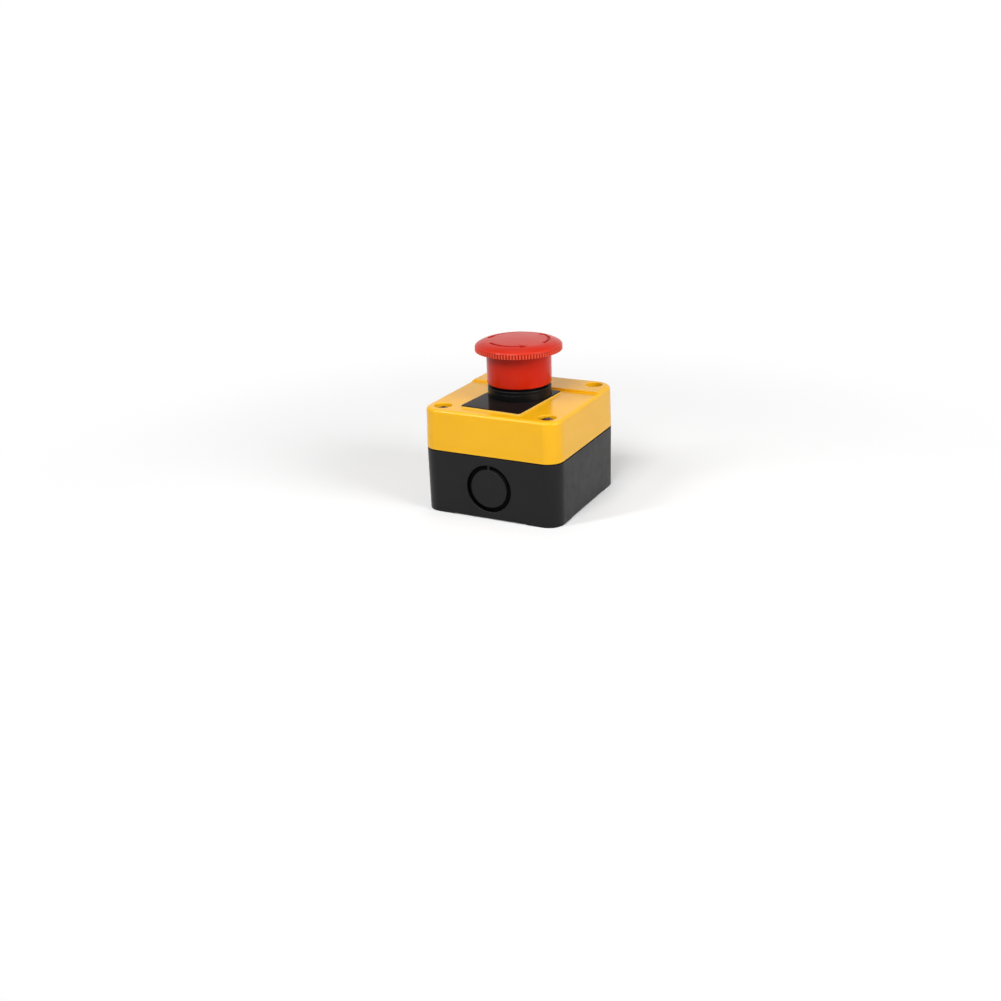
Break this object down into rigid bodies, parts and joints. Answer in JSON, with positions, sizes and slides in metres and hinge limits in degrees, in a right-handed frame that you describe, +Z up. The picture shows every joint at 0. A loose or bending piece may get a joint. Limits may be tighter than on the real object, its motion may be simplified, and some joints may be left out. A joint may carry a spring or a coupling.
{
  "type": "emergency stop push button station",
  "caption": "Square control box with a yellow cover on a black base and a red twist-release mushroom push button above a bare black legend plate.",
  "frame": {"origin": "centre of the box at the underside of the feet", "axes": "+Z up along the button's axis, -Y towards the wall with the visible cable knockout, +X to the right seen from that wall"},
  "size_m": [0.068, 0.068, 0.0762],
  "materials": {
    "cover_yellow": "satin moulded",
    "base_black": "fine moulded grain",
    "head_red": "satin moulded",
    "plate_black": "polished",
    "collar_black": "satin moulded",
    "screw_steel": "zinc plated",
    "spring_steel": "drawn wire",
    "contact_brass": "stamped",
    "seal_rubber": "matt",
    "inner_grey": "moulded",
    "slider_red": "moulded",
    "slider_green": "moulded"
  },
  "bodies": {
    "station": {"base_box": "base_black", "top_cover": "cover_yellow", "cover_seal": "seal_rubber", "cover_screws": "screw_steel", "legend_plate": "plate_black", "bezel_barrel": "collar_black", "bezel_gasket": "seal_rubber", "lock_washer": "screw_steel", "panel_nut": "collar_black", "barrel_cap": "inner_grey", "return_spring": "spring_steel", "mounting_carrier": "inner_grey", "carrier_screws": "screw_steel", "nc_block_housing": "base_black", "nc_block_side_cover": "base_black", "nc_block_return_spring": "spring_steel", "nc_block_fixed_contacts": "contact_brass", "nc_block_terminal_screws": "screw_steel", "nc_block_terminal_clamps": "screw_steel", "no_block_housing": "base_black", "no_block_side_cover": "base_black", "no_block_return_spring": "spring_steel", "no_block_fixed_contacts": "contact_brass", "no_block_terminal_screws": "screw_steel", "no_block_terminal_clamps": "screw_steel"},
    "plunger_unit": {"plunger": "inner_grey", "plunger_seal": "seal_rubber", "pusher_plate": "inner_grey", "twist_spring": "spring_steel"},
    "head_unit": {"mushroom_head": "head_red", "release_spindle": "screw_steel", "spindle_clip": "spring_steel"},
    "latch_right": {"latch_pin_right": "screw_steel"},
    "latch_left": {"latch_pin_left": "screw_steel"},
    "nc_slider_unit": {"nc_block_slider": "slider_red", "nc_block_bridge": "contact_brass", "nc_block_bridge_spring": "spring_steel"},
    "no_slider_unit": {"no_block_slider": "slider_green", "no_block_bridge": "contact_brass", "no_block_bridge_spring": "spring_steel"}
  },
  "joints": [
    {"name": "head_travel", "type": "slide", "parent": "station", "child": "plunger_unit", "axis": [0, 0, 1], "range_m": [0, 0.004], "deforming": ["return_spring"]},
    {"name": "head_twist", "type": "hinge", "parent": "plunger_unit", "child": "head_unit", "pos_m": [0, 0, 0.0665], "axis": [0, 0, 1], "range_deg": [0, 45], "stiffness_Nm_per_rad": 0.03},
    {"name": "latch_right_draw", "type": "slide", "parent": "plunger_unit", "child": "latch_right", "axis": [-1, 0, 0], "range_m": [0, 0.0008]},
    {"name": "latch_left_draw", "type": "slide", "parent": "plunger_unit", "child": "latch_left", "axis": [1, 0, 0], "range_m": [0, 0.0008]},
    {"name": "nc_slider_travel", "type": "slide", "parent": "station", "child": "nc_slider_unit", "axis": [0, 0, 1], "range_m": [0, 0.004], "deforming": ["nc_block_return_spring"]},
    {"name": "no_slider_travel", "type": "slide", "parent": "station", "child": "no_slider_unit", "axis": [0, 0, 1], "range_m": [0, 0.004], "deforming": ["no_block_return_spring"]}
  ],
  "couplings": [
    {"joint": "latch_right_draw", "follows": "head_twist", "m_per_rad": 0.001018},
    {"joint": "latch_left_draw", "follows": "head_twist", "m_per_rad": 0.001018},
    {"joint": "nc_slider_travel", "follows": "head_travel", "ratio": 1},
    {"joint": "no_slider_travel", "follows": "head_travel", "ratio": 1}
  ]
}
